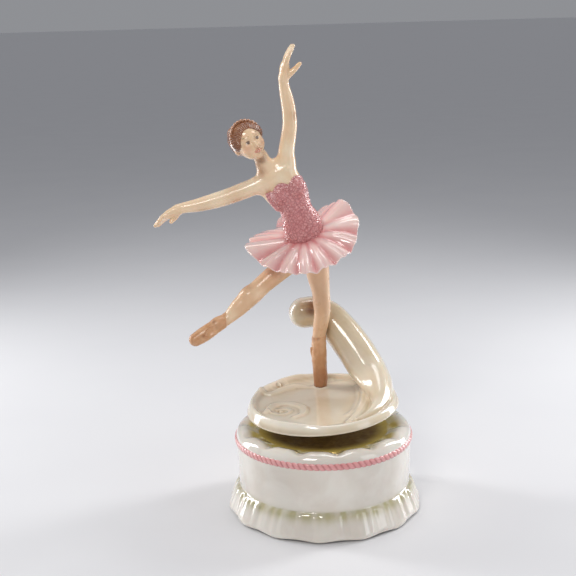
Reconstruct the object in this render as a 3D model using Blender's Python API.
"""Porcelain ballerina musical figurine: a dancer on a revolving wave-shaped stand, over a
pouf-shaped base that hides an 18-note wind-up movement. Run with
blender --background --python part.py. Metres, +Z up; lengths below are in millimetres and
become metres when each mesh is finished.

The turning axis of the stand is vertical. The object's origin is the bottom centre of its
bounding box, which the outstretched arm puts AXIS_X beside that axis, so every piece hangs
on an empty at AXIS_X and is modelled around the axis itself.
"""

import math

import bmesh
import bpy
from mathutils import Matrix, Vector

MM = 0.001
GAP = 0.3  # left between pieces that touch on the real object
AXIS_X = 14.3  # from the centre of the bounding box to the turning axis

# Base: a pouf with a ruffled skirt
LOBES = 16  # puffs round the cushion's edge and lobes round the skirt
BASE_SEGMENTS = 64
BELLY_R, BELLY_Z = 39.5, 32.0
WAIST_R, WAIST_Z = 38.7, 12.5
CREST_R, CREST_Z = 36.6, 37.2
RECESS_R, RECESS_Z = 24.0, 35.4
RUFFLE_R = 43.8
CAVITY_R = 34.2
CEILING_Z = 32.4
SPINDLE_HOLE_R = 6.2

# Movement, measured up from the floor
PLATE_R, PLATE_Z, PLATE_T = 35.2, 9.0, 1.8
BED_Z, BED_T = 11.1, 1.9
BED_TOP = BED_Z + BED_T
ARBOR_R = 1.5
BARREL_R, BARREL_H, BARREL_WALL = 11.0, 5.4, 1.0
BARREL_Z = BED_TOP + GAP
LID_Z, LID_T = BARREL_Z + BARREL_H + GAP, 0.6
WHEEL_Z, WHEEL_WEB = LID_Z + LID_T + GAP, 1.2

# Wheel train: module and tooth counts
CROWN_MODULE, CROWN_TEETH, CROWN_PINION_TEETH = 0.5, 36, 12
TRAIN_MODULE, CYLINDER_TEETH, GOVERNOR_PINION_TEETH, WORM_WHEEL_TEETH = 0.4, 35, 12, 14
ADDENDUM, DEDENDUM = 0.84, 1.16  # in modules
TIP_SHARE, ROOT_SHARE = 0.24, 0.5  # tooth width in circular pitches
WORM_R = 1.2  # pitch radius of the worm
CROWN_R = CROWN_MODULE * CROWN_TEETH / 2
CROWN_FACE = 1.6
CYLINDER_Z = WHEEL_Z + WHEEL_WEB + DEDENDUM * CROWN_MODULE + CROWN_MODULE * CROWN_PINION_TEETH / 2
CYLINDER_R, CYLINDER_X0, CYLINDER_X1 = 5.2, 13.3, 26.8
GEAR_X0, GEAR_X1 = 27.2, 28.4
GOVERNOR_DROP = math.radians(30)  # the governor wheel sits this far below the level of the cylinder
GOVERNOR_REACH = TRAIN_MODULE * (CYLINDER_TEETH + GOVERNOR_PINION_TEETH) / 2
GOVERNOR_Y = -GOVERNOR_REACH * math.cos(GOVERNOR_DROP)
GOVERNOR_Z = CYLINDER_Z - GOVERNOR_REACH * math.sin(GOVERNOR_DROP)
WORM_X = 20.0
WORM_Y = GOVERNOR_Y - TRAIN_MODULE * WORM_WHEEL_TEETH / 2 - WORM_R

# Stand: a dish tilted a little on its spindle, with a wave rising from its rim
DISC_R = 33.7
DISC_RIM_Z, DISC_FLOOR_Z, DISC_UNDER_Z = 49.6, 47.3, 44.8
DISC_RISE_X, DISC_RISE_Y = 0.059, 0.03
COUPLING_Z0, COUPLING_Z1 = 36.6, 44.2

# Dancer
TUTU_CENTRE = Vector((-6.5, 10.5, 123.2))
TUTU_UP = Vector((-0.24, -0.40, 0.885)).normalized()
TUTU_R, TUTU_HOLE_R, TUTU_T = 24.6, 6.8, 1.2
TUTU_PLEATS = 16
HEM_LIFT = (
    # degrees from the right towards the back, and millimetres over the skirt's plane
    (0, -0.8), (45, 1.8), (70, -2.5), (95, -5.0), (125, -4.4), (150, 0.2), (182, 3.2), (215, 1.0),
    (250, -1.2), (275, -2.6), (335, -2.6), (360, -0.8),
)
HEAD_CENTRE = Vector((-30.2, 3.2, 166.9))
HEAD_UP = Vector((-0.47, 0.0, 0.88)).normalized()
HEAD_HALF = Vector((7.3, 8.3, 9.3))


def material(name, colour, roughness, metallic=0.0):
    made = bpy.data.materials.new(name)
    made.use_nodes = True
    shader = made.node_tree.nodes["Principled BSDF"]
    shader.inputs["Base Color"].default_value = (*colour, 1.0)
    shader.inputs["Roughness"].default_value = roughness
    shader.inputs["Metallic"].default_value = metallic
    made.diffuse_color = (*colour, 1.0)
    return made


def empty(name, location=(0, 0, 0), rotation=(0, 0, 0), parent=None):
    made = bpy.data.objects.new(name, None)
    bpy.context.scene.collection.objects.link(made)
    made.location = Vector(location) * MM
    made.rotation_euler = rotation
    made.parent = parent
    return made


def finish(bm, name, finish_material, parent, location=(0, 0, 0), rotation=(0, 0, 0)):
    """Turns a bmesh in millimetres into a placed object with outward faces."""
    bmesh.ops.recalc_face_normals(bm, faces=bm.faces)
    if bm.calc_volume(signed=True) < 0:
        bmesh.ops.reverse_faces(bm, faces=bm.faces)
    bmesh.ops.scale(bm, vec=(MM, MM, MM), verts=bm.verts)
    mesh = bpy.data.meshes.new(name)
    bm.to_mesh(mesh)
    bm.free()
    mesh.materials.append(finish_material)
    mesh.shade_smooth()
    mesh.set_sharp_from_angle(angle=math.radians(35))
    made = bpy.data.objects.new(name, mesh)
    bpy.context.scene.collection.objects.link(made)
    made.location = Vector(location) * MM
    made.rotation_euler = rotation
    made.parent = parent
    return made


def turned(profile, segments):
    """A closed outline of (radius, height) points, spun round Z."""
    bm = bmesh.new()
    ring = [bm.verts.new((r, 0, z)) for r, z in profile]
    edges = [bm.edges.new((a, b)) for a, b in zip(ring, ring[1:] + ring[:1])]
    bmesh.ops.spin(bm, geom=ring + edges, cent=(0, 0, 0), axis=(0, 0, 1), angle=2 * math.pi,
                   steps=segments, use_merge=True)
    bmesh.ops.remove_doubles(bm, verts=bm.verts, dist=1e-4)
    return bm


def prism(outline, z0, z1):
    """A flat outline of (x, y) points, extruded from z0 to z1."""
    bm = bmesh.new()
    face = bm.faces.new([bm.verts.new((x, y, z0)) for x, y in outline])
    grown = bmesh.ops.extrude_face_region(bm, geom=[face])
    top = [v for v in grown["geom"] if isinstance(v, bmesh.types.BMVert)]
    bmesh.ops.translate(bm, verts=top, vec=(0, 0, z1 - z0))
    return bm


def box(low, high):
    outline = ((low[0], low[1]), (high[0], low[1]), (high[0], high[1]), (low[0], high[1]))
    return prism(outline, low[2], high[2])


def circle(radius, count, centre=(0, 0)):
    turns = (2 * math.pi * k / count for k in range(count))
    return [(centre[0] + radius * math.cos(a), centre[1] + radius * math.sin(a)) for a in turns]


def smooth_line(points, per_span):
    """Catmull-Rom through rows of numbers, so positions and radii run smoothly together."""
    rows = [points[0], *points, points[-1]]
    line = []
    for k in range(len(points) - 1):
        p0, p1, p2, p3 = rows[k:k + 4]
        for step in range(per_span):
            t = step / per_span
            line.append([
                0.5 * (2 * b + (c - a) * t + (2 * a - 5 * b + 4 * c - d) * t * t
                       + (3 * b - a - 3 * c + d) * t ** 3)
                for a, b, c, d in zip(p0, p1, p2, p3)
            ])
    return line + [list(points[-1])]


def limb(points, sides, per_span=2, across=Vector((1, 0, 0)), round_ends=(0.5, 0.5), grow=0.0):
    """A loft of ellipses along (x, y, z, half width, half depth) rows. `across` is the way the
    half width runs, and each end is domed by its share of the end's size."""
    line = smooth_line([(x, y, z, wide + grow, deep + grow) for x, y, z, wide, deep in points], per_span)
    centres = [Vector(row[:3]) for row in line]
    bm = bmesh.new()
    rings = []
    for k, row in enumerate(line):
        along = (centres[min(k + 1, len(line) - 1)] - centres[max(k - 1, 0)]).normalized()
        wide = (across - along * across.dot(along)).normalized()
        deep = along.cross(wide)
        rings.append([
            bm.verts.new(centres[k] + wide * row[3] * math.cos(a) + deep * row[4] * math.sin(a))
            for a in (2 * math.pi * s / sides for s in range(sides))
        ])
    for lower, upper in zip(rings, rings[1:]):
        for s in range(sides):
            bm.faces.new((lower[s], lower[(s + 1) % sides], upper[(s + 1) % sides], upper[s]))
    for ring, inner, row, dome in ((rings[0], centres[1], line[0], round_ends[0]),
                                   (rings[-1], centres[-2], line[-1], round_ends[1])):
        centre = Vector(row[:3])
        out = (centre - inner).normalized() * dome * min(row[3], row[4])
        tip = bm.verts.new(centre + out)
        for s in range(sides):
            bm.faces.new((ring[s], ring[(s + 1) % sides], tip))
    return bm


def cut(target, cutter, operation="DIFFERENCE"):
    """A Boolean with a helper that the model leaves out."""
    cutter.hide_render = True
    cutter.display_type = "WIRE"
    modifier = target.modifiers.new(operation.lower(), "BOOLEAN")
    modifier.operation = operation
    modifier.object = cutter
    modifier.solver = "EXACT"


def holes(target, parent, name, places, radius, z0, z1, sides=16):
    """Round holes along Z at (x, y) places."""
    for k, place in enumerate(places):
        cutter = finish(prism(circle(radius, sides, place), z0, z1), f"{name}_{k}",
                        target.data.materials[0], parent)
        cut(target, cutter)


def gear_outline(teeth, module, phase):
    """Straight-flanked spur teeth, with one tooth centred on the angle `phase` (degrees)."""
    pitch_r = module * teeth / 2
    pitch = math.pi * module
    tip_r, root_r = pitch_r + ADDENDUM * module, pitch_r - DEDENDUM * module
    outline = []
    for k in range(teeth):
        centre = math.radians(phase) + 2 * math.pi * k / teeth
        corners = ((root_r, -ROOT_SHARE), (tip_r, -TIP_SHARE), (tip_r, TIP_SHARE), (root_r, ROOT_SHARE))
        for r, share in corners:
            angle = centre + share * pitch / 2 / pitch_r
            outline.append((r * math.cos(angle), r * math.sin(angle)))
    return outline


def flute(angle, sharpness=1.0):
    """1 on a lobe of the base and 0 in the crease between two, with creases tighter than lobes."""
    return (0.5 + 0.5 * math.cos(LOBES * angle)) ** (0.5 * sharpness)


# ---- base ----------------------------------------------------------------------------------


def base_shell(root, porcelain):
    outer = [
        (RUFFLE_R - 1.6, 0.0), (RUFFLE_R - 0.2, 0.5), (RUFFLE_R, 2.6), (RUFFLE_R - 1.3, 6.4),
        (RUFFLE_R - 3.4, 10.2), (WAIST_R, WAIST_Z), (39.0, 18.0), (39.3, 25.0),
        (BELLY_R, 30.4), (BELLY_R + 0.4, BELLY_Z), (BELLY_R, 33.6), (38.9, 35.3), (37.9, 36.6),
        (CREST_R, CREST_Z), (34.4, 36.9), (31.0, 36.2), (27.5, 35.7), (RECESS_R, RECESS_Z),
        (SPINDLE_HOLE_R, RECESS_Z),
    ]
    inner = [
        (SPINDLE_HOLE_R, CEILING_Z), (24.0, CEILING_Z), (30.0, 33.6), (CAVITY_R, 31.4),
        (CAVITY_R, BED_Z), (PLATE_R + 0.5, BED_Z), (PLATE_R + 0.5, 8.2), (38.4, 5.0), (39.9, 0.0),
    ]
    bm = turned(outer + inner, BASE_SEGMENTS)
    for v in bm.verts:
        radius, angle = math.hypot(v.co.x, v.co.y), math.atan2(v.co.y, v.co.x)
        outside = radius > RUFFLE_R - 4.0 and v.co.z < WAIST_Z - 1.0
        inside_skirt = radius > PLATE_R + 1.0 and v.co.z < 8.0
        on_crest = radius > 33.0 and v.co.z > 36.0
        if outside or inside_skirt:
            flare = 1.0 - v.co.z / WAIST_Z
            push = 0.4 * flare * math.cos(LOBES * angle)
            v.co.x += push * math.cos(angle)
            v.co.y += push * math.sin(angle)
            if 0.3 < v.co.z < 9.0 and outside:
                v.co.z += 0.4 * flare * (1 - flute(angle))
        elif on_crest:
            v.co.z -= 0.7 * (1 - flute(angle))
    return finish(bm, "base_shell", porcelain, root)


def closing_plate(root, board, glue, steel):
    hole_ring = circle(28.0, 8)
    screws = ((-9.0, 13.5), (-9.0, -13.5), (8.0, 14.6))
    plate = finish(prism(circle(PLATE_R, 40), PLATE_Z, PLATE_Z + PLATE_T), "bottom_plate", board, root)
    holes(plate, root, "arbor_hole", [(0, 0)], 3.4, PLATE_Z - 1, PLATE_Z + PLATE_T + 1)
    holes(plate, root, "sound_hole", hole_ring, 1.8, PLATE_Z - 1, PLATE_Z + PLATE_T + 1, 10)
    holes(plate, root, "plate_screw_hole", screws, 1.5, PLATE_Z - 1, PLATE_Z + PLATE_T + 1, 12)
    bead = [
        (PLATE_R - 1.6, PLATE_Z - GAP), (PLATE_R - 1.2, PLATE_Z - 1.1),
        (PLATE_R + 0.2, PLATE_Z - 1.2), (PLATE_R + 0.2, PLATE_Z - GAP),
    ]
    finish(turned(bead, 36), "glue_bead", glue, root)
    head_low, head_top = PLATE_Z - GAP - 1.3, PLATE_Z - GAP
    for k, (x, y) in enumerate(screws, 1):
        profile = [(0, head_low), (2.0, head_low), (2.4, head_low + 0.5), (2.4, head_top),
                   (1.2, head_top), (1.2, BED_TOP - 0.5), (0.8, BED_TOP - 0.1), (0, BED_TOP - 0.1)]
        finish(turned(profile, 12), f"movement_screw_{k}", steel, root, (x, y, 0))
    return screws


def bedplate(root, zinc, screws):
    outline = [
        (-15, -12), (-10, -18), (27, -18.5), (30.8, -12),
        (30.8, 12), (27, 18.5), (-10, 18), (-15, 12),
    ]
    bed = finish(prism(outline, BED_Z, BED_TOP), "movement_bedplate", zinc, root)
    lugs = {
        "cylinder_post_left": ((11.5, -2.2), (12.7, 2.2), CYLINDER_Z + 2.2),
        "cylinder_post_right": ((29.0, -2.2), (30.2, 2.2), CYLINDER_Z + 2.2),
        "governor_post_left": ((17.0, GOVERNOR_Y - 1.6), (18.2, GOVERNOR_Y + 1.6), GOVERNOR_Z + 1.8),
        "governor_post_right": ((29.0, GOVERNOR_Y - 1.6), (30.2, GOVERNOR_Y + 1.6), GOVERNOR_Z + 1.8),
        "comb_pedestal": ((13.5, 12.9), (26.6, 17.8), CYLINDER_Z - 0.5 - GAP),
    }
    for name, ((x0, y0), (x1, y1), top) in lugs.items():
        cut(bed, finish(box((x0, y0, BED_TOP - 0.6), (x1, y1, top)), name, zinc, root), "UNION")
    for name, y, z, radius in (("cylinder_bearing", 0, CYLINDER_Z, 1.05),
                               ("governor_bearing", GOVERNOR_Y, GOVERNOR_Z, 0.9)):
        drill = finish(prism(circle(radius, 12), 10.6, 31.0), name, zinc, root,
                       (0, y, z), (0, math.pi / 2, 0))
        cut(bed, drill)
    holes(bed, root, "bed_arbor_hole", [(0, 0)], ARBOR_R + 0.4, BED_Z - 1, BED_TOP + 1)
    holes(bed, root, "bed_screw_hole", screws, 1.5, BED_Z - 1, BED_TOP + 1, 12)
    return bed


def mainspring_barrel(root, steel, brass, spring_steel):
    top, floor = BARREL_Z + BARREL_H, BARREL_Z + 0.8
    inner = BARREL_R - BARREL_WALL
    hole = ARBOR_R + 0.4
    cup = [
        (hole, BARREL_Z), (BARREL_R, BARREL_Z), (BARREL_R, top),
        (inner, top), (inner, floor), (hole, floor),
    ]
    finish(turned(cup, 30), "spring_barrel", brass, root)
    lid = [(hole, LID_Z), (BARREL_R, LID_Z), (BARREL_R, LID_Z + LID_T), (hole, LID_Z + LID_T)]
    finish(turned(lid, 30), "barrel_lid", brass, root)
    turns, strip, first, last = 5, 0.5, 2.3, inner - 0.5
    steps = turns * 16
    inside, outside = [], []
    for k in range(steps + 1):
        angle = 2 * math.pi * turns * k / steps
        radius = first + (last - strip - first) * k / steps
        inside.append((radius * math.cos(angle), radius * math.sin(angle)))
        outside.append(((radius + strip) * math.cos(angle), (radius + strip) * math.sin(angle)))
    coil = bmesh.new()
    rows = [[coil.verts.new((x, y, z)) for x, y in side]
            for side, z in ((inside, floor + GAP), (outside, floor + GAP),
                            (outside, top - 0.4), (inside, top - 0.4))]
    for one, other in zip(rows, rows[1:] + rows[:1]):
        for k in range(steps):
            coil.faces.new((one[k], one[k + 1], other[k + 1], other[k]))
    coil.faces.new([row[0] for row in rows])
    coil.faces.new([row[-1] for row in rows])
    finish(coil, "mainspring", spring_steel, root)


def tuned_comb(root, comb_steel, screw_steel):
    """Eighteen teeth that grow shorter towards the treble end, on one plate with two screws."""
    notes, thickness = 18, 1.0
    x0, x1 = CYLINDER_X0 + 0.1, CYLINDER_X1 - 0.1
    tip_y, back_y = CYLINDER_R + 0.9, 17.6
    pitch = (x1 - x0) / notes
    outline = [(x1, back_y), (x0, back_y)]
    for k in range(notes):
        left, tooth = x0 + pitch * k, 0.64 * pitch
        root_y = 13.2 - 2.6 * k / notes
        outline += [(left, tip_y), (left + tooth, tip_y), (left + tooth, root_y), (left + pitch, root_y)]
    low, top = CYLINDER_Z - 0.5, CYLINDER_Z - 0.5 + thickness
    comb = finish(prism(outline, low, top), "tuned_comb", comb_steel, root)
    places = ((16.4, 15.6), (23.7, 15.6))
    holes(comb, root, "comb_screw_hole", places, 1.2, low - 1, top + 1, 12)
    bed = bpy.data.objects["movement_bedplate"]
    holes(bed, root, "comb_thread", places, 1.2, CYLINDER_Z - 4.4, top + 1, 12)
    for k, (x, y) in enumerate(places, 1):
        profile = [(0, CYLINDER_Z - 4.0), (0.9, CYLINDER_Z - 4.0), (0.9, top + GAP), (1.8, top + GAP),
                   (1.8, top + 1.1), (1.3, top + 1.4), (0, top + 1.4)]
        finish(turned(profile, 12), f"comb_screw_{k}", screw_steel, root, (x, y, 0))


def governor_bracket(root, zinc, steel):
    """A C-shaped frame that holds the worm upright between its two arms."""
    low, foot_top, arm_low, arm_top = BED_TOP + GAP, BED_TOP + 1.6, 28.9, 30.1
    wall_y0, wall_y1 = WORM_Y - 6.1, WORM_Y - 4.9
    frame = finish(box((16.5, wall_y0, low), (26.6, WORM_Y + 1.5, foot_top)), "governor_frame", zinc, root)
    wall = finish(box((17.5, wall_y0, low + 0.2), (22.5, wall_y1, arm_top)), "frame_wall", zinc, root)
    arm = finish(box((18.2, wall_y0 + 0.1, arm_low), (21.8, WORM_Y + 1.4, arm_top - 0.05)), "frame_arm", zinc, root)
    cut(frame, wall, "UNION")
    cut(frame, arm, "UNION")
    screw_x, screw_y = 24.6, WORM_Y - 2.3
    holes(frame, root, "worm_pivot", [(WORM_X, WORM_Y)], 0.75, low - 1, arm_top + 1, 12)
    holes(frame, root, "frame_screw_hole", [(screw_x, screw_y)], 1.2, low - 1, foot_top + 1, 12)
    holes(bpy.data.objects["movement_bedplate"], root, "frame_thread", [(screw_x, screw_y)], 1.2,
          BED_Z - 1, BED_TOP + 1, 12)
    profile = [(0, BED_Z + 0.2), (0.9, BED_Z + 0.2), (0.9, foot_top + GAP), (1.7, foot_top + GAP),
               (1.7, foot_top + 1.0), (1.2, foot_top + 1.3), (0, foot_top + 1.3)]
    finish(turned(profile, 12), "governor_frame_screw", steel, root, (screw_x, screw_y, 0))


def top_bush(root, nylon):
    bore, body, flange = 2.6, SPINDLE_HOLE_R - GAP, 7.6
    profile = [(bore, CEILING_Z - 0.8), (body, CEILING_Z - 0.8), (body, RECESS_Z + GAP),
               (flange, RECESS_Z + GAP), (flange, RECESS_Z + 0.9), (bore, RECESS_Z + 0.9)]
    finish(turned(profile, 24), "top_bush", nylon, root)


# ---- moving parts of the movement -------------------------------------------------------------


def winding_key(axis, brass, steel):
    """A winged key in the recess under the plate, on the arbor that winds the mainspring."""
    boss_low, boss_top = 2.2, PLATE_Z - 0.6
    boss = [
        (0, boss_low), (2.4, boss_low), (3.0, boss_low + 0.6), (3.0, boss_top),
        (ARBOR_R + GAP, boss_top), (ARBOR_R + GAP, boss_low + 0.9), (0, boss_low + 0.9),
    ]
    key = finish(turned(boss, 20), "winding_key", brass, axis)
    low, high, half_t, reach, round_r = 1.5, 7.2, 0.8, 10.0, 2.85
    for side in (1, -1):
        arc = (math.radians(a) for a in range(-90, 91, 30))
        mid = (low + high) / 2
        outline = [(side * 2.6, high - 1.2), (side * (reach - round_r), high)]
        outline += [(side * (reach - round_r + round_r * math.cos(a)), mid - round_r * math.sin(a))
                    for a in arc][1:-1]
        outline += [(side * (reach - round_r), low), (side * 2.6, low + 1.0)]
        wing = prism(outline, -half_t, half_t)
        bmesh.ops.rotate(wing, verts=wing.verts, matrix=Matrix.Rotation(math.pi / 2, 3, "X"))
        cut(key, finish(wing, f"wing_{side}", brass, axis), "UNION")
    profile = [(0, boss_low + 1.2), (ARBOR_R, boss_low + 1.2), (ARBOR_R, WHEEL_Z + 3.4), (0, WHEEL_Z + 3.4)]
    finish(turned(profile, 16), "winding_arbor", steel, axis)


def great_wheel(axis, brass, steel):
    """Crown wheel over the barrel, its blind hub closed round a one-way clutch coil."""
    web_top, rim_r, hub_r, bore_r = WHEEL_Z + WHEEL_WEB, CROWN_R + CROWN_FACE / 2 + 0.4, 3.6, 2.9
    hub_top, bore_top = WHEEL_Z + 5.1, WHEEL_Z + 3.7
    profile = [(bore_r, WHEEL_Z), (rim_r, WHEEL_Z), (rim_r, web_top), (hub_r, web_top), (hub_r, hub_top),
               (0, hub_top), (0, bore_top), (bore_r, bore_top)]
    wheel = finish(turned(profile, 36), "great_wheel", brass, axis)
    teeth = bmesh.new()
    pitch = math.pi * CROWN_MODULE
    height = (ADDENDUM + DEDENDUM) * CROWN_MODULE
    for k in range(CROWN_TEETH):
        centre = 2 * math.pi * (k + 0.5) / CROWN_TEETH
        along = Vector((math.cos(centre), math.sin(centre), 0))
        wide = Vector((-math.sin(centre), math.cos(centre), 0))
        corners = []
        for r in (CROWN_R - CROWN_FACE / 2, CROWN_R + CROWN_FACE / 2):
            for z, share in ((web_top - 0.2, ROOT_SHARE), (web_top + height, TIP_SHARE)):
                for side in (-1, 1):
                    corner = along * r + wide * side * share * pitch / 2 + Vector((0, 0, z))
                    corners.append(teeth.verts.new(corner))
        a, b, c, d, e, f, g, h = corners
        for face in ((a, b, d, c), (e, g, h, f), (a, c, g, e), (b, f, h, d), (c, d, h, g), (a, e, f, b)):
            teeth.faces.new(face)
    cut(wheel, finish(teeth, "crown_teeth", brass, axis), "UNION")
    wire_r, coil_r, turns, steps = 0.33, 2.2, 3, 10
    points = []
    for k in range(turns * steps + 1):
        a = 2 * math.pi * k / steps
        height = WHEEL_Z + 0.5 + 2.9 * k / (turns * steps)
        points.append((coil_r * math.cos(a), coil_r * math.sin(a), height, wire_r, wire_r))
    finish(limb(points, 5, 1, Vector((0, 0, 1)), (0.2, 0.2)), "clutch_spring", steel, axis)
    spindle_low = hub_top + GAP
    profile = [(0, spindle_low), (hub_r, spindle_low), (hub_r, spindle_low + 1.0), (2.4, spindle_low + 1.0),
               (2.4, COUPLING_Z1 - 0.8), (0, COUPLING_Z1 - 0.8)]
    finish(turned(profile, 20), "output_spindle", steel, axis)
    profile = [
        (2.7, COUPLING_Z0), (6.4, COUPLING_Z0), (7.0, COUPLING_Z0 + 0.8), (7.0, COUPLING_Z1),
        (0, COUPLING_Z1), (0, COUPLING_Z1 - 0.5), (2.7, COUPLING_Z1 - 0.5),
    ]
    finish(turned(profile, 24), "spindle_coupling", brass, axis)


def music_cylinder(axis, brass, steel):
    """The axis empty turns local +Z to the object's +X, and local +X straight down."""
    body = prism(circle(CYLINDER_R, 24), CYLINDER_X0, CYLINDER_X1)
    bore = prism(circle(1.05, 12), CYLINDER_X0 - 1, CYLINDER_X1 + 1)
    barrel = finish(body, "pinned_cylinder", brass, axis)
    cut(barrel, finish(bore, "cylinder_bore", brass, axis))
    pins = bmesh.new()
    note_pitch = (CYLINDER_X1 - CYLINDER_X0 - 0.2) / 18
    for k in range(27):
        angle = math.radians(k * 137.5)
        place = CYLINDER_X0 + 0.1 + note_pitch * ((k * 7) % 18 + 0.32)
        pin = bmesh.ops.create_cone(pins, cap_ends=True, cap_tris=False, segments=4,
                                    radius1=0.2, radius2=0.16, depth=1.0)["verts"]
        turn = Matrix.Rotation(angle, 4, "Z") @ Matrix.Translation((CYLINDER_R - 0.1, 0, place))
        bmesh.ops.transform(pins, matrix=turn @ Matrix.Rotation(math.pi / 2, 4, "Y"), verts=pin)
    cut(barrel, finish(pins, "pins", brass, axis), "UNION")
    finish(prism(circle(0.75, 12), CROWN_R - CROWN_FACE / 2 - 0.5, 30.8), "cylinder_arbor", steel, axis)
    crown_x0, crown_x1 = CROWN_R - CROWN_FACE / 2, CROWN_R + CROWN_FACE / 2
    gear_phase = math.degrees(GOVERNOR_DROP) - 90
    for name, teeth, module, phase, z0, z1 in (
            ("crown_pinion", CROWN_PINION_TEETH, CROWN_MODULE, 0, crown_x0, crown_x1),
            ("cylinder_gear", CYLINDER_TEETH, TRAIN_MODULE, gear_phase, GEAR_X0, GEAR_X1)):
        gear = finish(prism(gear_outline(teeth, module, phase), z0, z1), name, brass, axis)
        cut(gear, finish(prism(circle(1.05, 12), z0 - 1, z1 + 1), f"{name}_bore", brass, axis))


def governor_wheel(axis, nylon, steel):
    gap_phase = math.degrees(GOVERNOR_DROP) + 90 + 180 / GOVERNOR_PINION_TEETH
    worm_phase = -90 + 180 / WORM_WHEEL_TEETH
    for name, teeth, phase, z0, z1 in (
            ("governor_pinion", GOVERNOR_PINION_TEETH, gap_phase, GEAR_X0, GEAR_X1),
            ("governor_worm_wheel", WORM_WHEEL_TEETH, worm_phase, WORM_X - 0.5, WORM_X + 0.5)):
        gear = finish(prism(gear_outline(teeth, TRAIN_MODULE, phase), z0, z1), name, nylon, axis)
        cut(gear, finish(prism(circle(0.9, 12), z0 - 1, z1 + 1), f"{name}_bore", nylon, axis))
    finish(prism(circle(0.6, 12), 16.8, 30.4), "governor_axle", steel, axis)


def governor_worm(axis, steel, brass):
    """One-start worm with the air brake at its top. The axis empty stands level with its wheel."""
    lead = math.pi * TRAIN_MODULE
    turns, steps = 3.2, 10
    root_r = WORM_R - 0.42
    core = [
        (0, -6.3), (0.45, -6.3), (0.45, -3.0), (root_r, -2.8),
        (root_r, 2.8), (0.45, 3.0), (0.45, 10.0), (0, 10.0),
    ]
    worm = finish(turned(core, 14), "governor_worm", steel, axis)
    thread = bmesh.new()
    count = int(turns * steps)
    rows = []
    for k in range(count + 1):
        angle = math.pi / 2 + 2 * math.pi * (k / steps - turns / 2)
        height = lead * (k / steps - turns / 2)
        section = (
            (root_r - 0.12, -0.26), (WORM_R + 0.3, -0.12),
            (WORM_R + 0.3, 0.12), (root_r - 0.12, 0.26),
        )
        rows.append([
            thread.verts.new((r * math.cos(angle), r * math.sin(angle), height + dz))
            for r, dz in section
        ])
    for one, other in zip(rows, rows[1:]):
        for s in range(4):
            thread.faces.new((one[s], one[(s + 1) % 4], other[(s + 1) % 4], other[s]))
    thread.faces.new(rows[0])
    thread.faces.new(rows[-1])
    cut(worm, finish(thread, "worm_thread", steel, axis), "UNION")
    fan = box((-4.3, -0.2, 4.6), (4.3, 0.2, 8.4))
    brake = finish(fan, "air_brake", brass, axis)
    cut(brake, finish(prism(circle(1.3, 12), 4.9, 8.1), "brake_hub", brass, axis), "UNION")
    cut(brake, finish(prism(circle(0.45 + GAP, 12), 4, 9), "brake_bore", brass, axis))


# ---- stand --------------------------------------------------------------------------------------


def tilt(bm, over_radius=0.0):
    """Tips the stand on its spindle: it rises to the right and to the back."""
    for v in bm.verts:
        if math.hypot(v.co.x, v.co.y) > over_radius or v.co.z > DISC_UNDER_Z + 1:
            v.co.z += DISC_RISE_X * v.co.x + DISC_RISE_Y * v.co.y


def disc_shape(room=0.0):
    """The dish, its rim higher and broader at the back. With `room` it is a cutter instead: the
    dish's top surface raised by that much, and all the space below and outside it."""
    under = [(0, DISC_UNDER_Z), (9.0, DISC_UNDER_Z), (29.5, DISC_UNDER_Z), (32.4, DISC_UNDER_Z + 0.5),
             (DISC_R, DISC_UNDER_Z + 2.4)]
    if room:
        under = [(0, DISC_UNDER_Z - 8), (DISC_R + 8, DISC_UNDER_Z - 8), (DISC_R + 8, DISC_RIM_Z - 1.2 + room)]
    top = [(33.2, DISC_RIM_Z - 0.7), (31.9, DISC_RIM_Z), (30.4, DISC_RIM_Z - 0.3), (28.6, DISC_FLOOR_Z + 0.6),
           (25.5, DISC_FLOOR_Z), (0, DISC_FLOOR_Z)]
    bm = turned(under + [(r, z + room) for r, z in top], 36)
    for v in bm.verts:
        radius, angle = math.hypot(v.co.x, v.co.y), math.atan2(v.co.y, v.co.x)
        if v.co.z > DISC_FLOOR_Z - 1 and radius > 20:
            v.co.z += 0.8 * max(0.0, math.sin(angle)) * (radius - 20) / 14
    tilt(bm, 9.5)
    return bm


def stand(axis, porcelain):
    finish(disc_shape(), "swivel_disc", porcelain, axis)
    path = [
        (15.0, -19.0, 49.4, 2.6, 2.2), (22.5, -9.0, 50.0, 5.0, 3.2), (26.0, 4.0, 51.4, 6.4, 5.4),
        (24.2, 12.2, 54.6, 7.2, 6.8), (20.9, 17.6, 59.6, 7.7, 7.5), (16.4, 22.8, 66.2, 7.8, 7.7),
        (10.9, 27.4, 73.6, 7.4, 7.3), (4.6, 30.6, 80.2, 6.9, 6.9), (-2.0, 32.2, 83.4, 6.5, 6.5),
        (-7.0, 32.4, 83.9, 6.2, 6.3), (-10.8, 32.2, 83.7, 4.8, 4.9), (-12.8, 32.0, 83.5, 2.5, 2.5),
    ]
    wave = finish(limb(path, 14, 2, Vector((1, -0.4, 0)), (0.5, 0.85)), "wave_support", porcelain, axis)
    cut(wave, finish(disc_shape(GAP), "disc_room", porcelain, axis))


# ---- dancer ---------------------------------------------------------------------------------------

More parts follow.
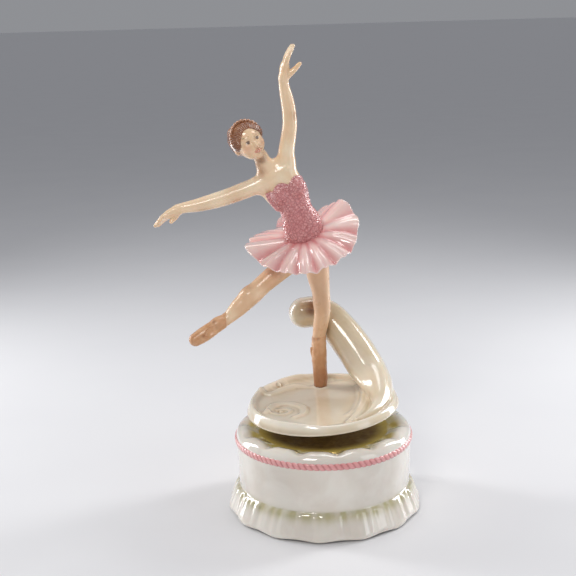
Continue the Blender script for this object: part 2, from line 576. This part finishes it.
STANDING_LEG = [
    (-0.2, 22.5, 48.7, 2.6, 2.6), (-0.2, 22.4, 52.0, 3.0, 3.1), (-0.5, 21.9, 60.0, 3.2, 3.3),
    (-0.8, 21.3, 67.0, 3.6, 3.7), (-0.4, 20.8, 73.5, 3.2, 3.3), (0.5, 20.0, 80.0, 3.5, 3.7),
    (1.3, 19.0, 87.0, 3.8, 4.0), (0.5, 17.6, 96.0, 4.2, 4.4), (-0.4, 16.2, 104.0, 5.0, 5.1),
    (-1.0, 14.8, 111.5, 5.5, 5.6), (-1.6, 13.8, 116.6, 5.5, 5.6),
]
RAISED_LEG = [
    (-6.8, 11.0, 116.2, 5.2, 5.2), (-13.2, 9.4, 111.4, 4.9, 4.9), (-20.4, 7.6, 106.2, 4.5, 4.6),
    (-27.2, 5.6, 100.8, 4.2, 4.3), (-33.2, 3.6, 95.8, 4.1, 4.1), (-38.4, 1.6, 91.0, 3.2, 3.3),
    (-42.8, 0.2, 87.6, 2.9, 3.0), (-47.6, -1.4, 84.8, 3.3, 3.2), (-53.2, -3.0, 81.4, 3.2, 3.0),
    (-57.6, -4.1, 78.8, 2.5, 2.4),
]
TORSO = [
    (-6.2, 11.6, 119.6, 5.4, 4.8), (-6.3, 11.1, 123.0, 7.7, 6.2), (-6.7, 10.4, 128.4, 8.3, 6.3),
    (-8.8, 9.0, 134.4, 6.6, 5.2), (-10.9, 7.6, 140.0, 7.3, 5.6), (-12.4, 6.6, 145.0, 7.7, 6.0),
    (-14.8, 5.8, 149.6, 7.2, 5.0), (-17.2, 5.3, 153.0, 5.8, 3.8), (-19.4, 5.0, 155.6, 3.2, 3.0),
]
RAISED_ARM = [
    (-13.2, 5.6, 151.0, 3.0, 3.0), (-12.3, 5.6, 157.0, 3.4, 3.4), (-12.6, 5.6, 164.0, 3.2, 3.2),
    (-12.0, 5.5, 170.5, 3.2, 3.1), (-11.7, 5.3, 177.0, 3.1, 3.0), (-12.4, 5.0, 183.0, 3.1, 2.8),
    (-13.5, 4.8, 188.4, 2.5, 2.3),
    (-14.0, 4.5, 192.4, 2.0, 1.8), (-13.3, 4.3, 196.4, 2.9, 1.7), (-12.2, 4.0, 200.2, 2.4, 1.3),
    (-10.2, 3.7, 204.6, 1.0, 0.9),
]
OUTSTRETCHED_ARM = [
    (-17.5, 5.2, 151.4, 2.9, 2.9), (-23.9, 4.7, 149.0, 3.4, 3.4), (-30.4, 4.1, 146.4, 3.2, 3.2),
    (-36.7, 3.4, 144.0, 3.4, 3.3), (-42.5, 2.7, 142.0, 3.4, 3.2), (-48.4, 1.9, 140.5, 3.2, 3.0),
    (-54.3, 1.0, 139.4, 2.7, 2.5),
    (-60.5, 0.0, 138.4, 2.1, 1.9), (-65.0, -0.6, 136.4, 2.7, 1.7), (-69.2, -0.9, 133.8, 2.0, 1.2),
    (-72.3, -1.1, 131.6, 0.9, 0.8),
]


def hem_lift(degrees):
    """The hem's height over its own plane, eased between the angles of HEM_LIFT."""
    for (a, low), (b, high) in zip(HEM_LIFT, HEM_LIFT[1:]):
        if degrees <= b:
            return low + (high - low) * (0.5 - 0.5 * math.cos(math.pi * (degrees - a) / (b - a)))
    return HEM_LIFT[-1][1]


def tutu_shape():
    """A pleated ring that droops in front and lifts at the back and left, pleats growing to the hem."""
    right = Vector((0, 1, 0)).cross(TUTU_UP).normalized()
    back = TUTU_UP.cross(right)
    sides, rings = TUTU_PLEATS * 4, 4
    bm = bmesh.new()
    rows = []
    for offset in (TUTU_T / 2, -TUTU_T / 2):
        for k in (range(rings) if offset > 0 else reversed(range(rings))):
            share = k / (rings - 1)
            radius = TUTU_HOLE_R + (TUTU_R - TUTU_HOLE_R) * share
            row = []
            for s in range(sides):
                angle = 2 * math.pi * s / sides
                pleat = 1.0 * share * math.cos(TUTU_PLEATS * angle)
                height = hem_lift(math.degrees(angle)) * share * share + pleat + offset
                row.append(bm.verts.new(TUTU_CENTRE + right * radius * math.cos(angle)
                                        + back * radius * math.sin(angle) + TUTU_UP * height))
            rows.append(row)
    for one, other in zip(rows, rows[1:] + rows[:1]):
        for s in range(sides):
            bm.faces.new((one[s], one[(s + 1) % sides], other[(s + 1) % sides], other[s]))
    return bm


def leaning(centre, up):
    """A frame at `centre` whose Z runs along `up` and whose Y still points to the back."""
    right = Vector((0, 1, 0)).cross(up).normalized()
    axes = Matrix((right, up.cross(right), up)).transposed()
    return Matrix.Translation(centre) @ axes.to_4x4()


def egg(centre, half, up, grow=0.0, columns=14, rows=9):
    """An upright ellipsoid leaning along `up`."""
    bm = bmesh.new()
    bmesh.ops.create_uvsphere(bm, u_segments=columns, v_segments=rows, radius=1.0)
    sizes = Matrix.Diagonal((half.x + grow, half.y + grow, half.z + grow, 1.0))
    bmesh.ops.transform(bm, matrix=leaning(centre, up) @ sizes, verts=bm.verts)
    return bm


def head_and_hair(axis, skin, hair):
    head = finish(egg(HEAD_CENTRE, HEAD_HALF, HEAD_UP), "head", skin, axis)
    neck_path = [(-20.5, 4.8, 157.0, 3.0, 2.9), (-23.0, 4.3, 159.6, 2.7, 2.7), (-27.4, 3.6, 163.6, 2.9, 2.9)]
    cut(head, finish(limb(neck_path, 12, 1), "neck", skin, axis), "UNION")
    back_centre = HEAD_CENTRE + Vector((0, 1.2, 0)) + HEAD_UP * 0.6
    cap = finish(egg(back_centre, HEAD_HALF, HEAD_UP, 0.9), "hair", hair, axis)
    bun_centre = HEAD_CENTRE + Vector((2.6, 7.6, 0)) + HEAD_UP * 5.2
    cut(cap, finish(egg(bun_centre, Vector((4.2, 4.2, 4.0)), HEAD_UP, 0, 12, 8), "bun", hair, axis), "UNION")
    cut(cap, finish(egg(HEAD_CENTRE, HEAD_HALF, HEAD_UP, GAP), "head_room", hair, axis))
    for name, low, high in (("face_opening", (-16, -30, -30), (16, -2.0, 5.2)),
                            ("nape_opening", (-16, -30, -30), (16, 30, -4.6))):
        room = box(low, high)
        bmesh.ops.transform(room, verts=room.verts, matrix=leaning(HEAD_CENTRE, HEAD_UP))
        cut(cap, finish(room, name, hair, axis))
    return head


def dancer(axis, skin, hair, pink, pale_pink, tights):
    """Slip-cast parts that meet the torso, and each other at the hips, face to face."""
    body = finish(limb(TORSO, 16, 1, round_ends=(0.2, 0.1)), "torso", pink, axis)
    standing = finish(limb(STANDING_LEG, 12, 1, round_ends=(0.05, 0.3)), "standing_leg", tights, axis)
    raised = finish(limb(RAISED_LEG, 12, 1, Vector((0, 1, 0)), (0.3, 0.7)), "raised_leg", tights, axis)
    skirt = finish(tutu_shape(), "tutu", pale_pink, axis)
    arm_up = finish(limb(RAISED_ARM, 10, 1), "raised_arm", skin, axis)
    arm_out = finish(limb(OUTSTRETCHED_ARM, 10, 1, Vector((0, 0, 1))), "outstretched_arm", skin, axis)
    head = head_and_hair(axis, skin, hair)
    torso_room = finish(limb(TORSO, 16, 1, round_ends=(0.2, 0.1), grow=GAP), "torso_room", pink, axis)
    leg_room = finish(limb(STANDING_LEG, 12, 1, round_ends=(0.05, 0.3), grow=GAP), "leg_room", tights, axis)
    for piece in (standing, raised, skirt, arm_up, arm_out, head):
        cut(piece, torso_room)
    for piece in (raised, skirt):
        cut(piece, leg_room)


def main():
    for old in list(bpy.data.objects):
        bpy.data.objects.remove(old)
    porcelain = material("white_porcelain", (0.86, 0.84, 0.80), 0.12)
    cream = material("cream_porcelain", (0.84, 0.76, 0.62), 0.12)
    skin = material("skin_glaze", (0.86, 0.68, 0.50), 0.15)
    tights = material("tights_glaze", (0.72, 0.50, 0.33), 0.15)
    hair = material("hair_glaze", (0.36, 0.20, 0.12), 0.2)
    pink = material("bodice_glaze", (0.70, 0.33, 0.34), 0.25)
    pale_pink = material("tutu_glaze", (0.90, 0.66, 0.64), 0.15)
    brass = material("brass", (0.78, 0.60, 0.30), 0.3, 1.0)
    zinc = material("zinc", (0.62, 0.62, 0.63), 0.4, 1.0)
    steel = material("steel", (0.60, 0.60, 0.61), 0.3, 1.0)
    nylon = material("nylon", (0.85, 0.84, 0.80), 0.4)
    board = material("black_board", (0.05, 0.05, 0.05), 0.6)
    glue = material("hot_glue", (0.80, 0.76, 0.62), 0.35)

    root = empty("figurine", (AXIS_X, 0, 0))
    base_shell(root, porcelain)
    screws = closing_plate(root, board, glue, steel)
    bedplate(root, zinc, screws)
    mainspring_barrel(root, steel, brass, steel)
    tuned_comb(root, steel, steel)
    governor_bracket(root, zinc, steel)
    top_bush(root, nylon)

    winding_key(empty("key_axis", parent=root), brass, steel)
    turntable = empty("turntable_axis", parent=root)
    great_wheel(turntable, brass, steel)
    lying = (0, math.pi / 2, 0)
    music_cylinder(empty("cylinder_axis", (0, 0, CYLINDER_Z), lying, root), brass, steel)
    governor_wheel(empty("governor_axis", (0, GOVERNOR_Y, GOVERNOR_Z), lying, root), nylon, steel)
    governor_worm(empty("worm_axis", (WORM_X, WORM_Y, GOVERNOR_Z), parent=root), steel, brass)
    stand(turntable, cream)
    dancer(turntable, skin, hair, pink, pale_pink, tights)


main()
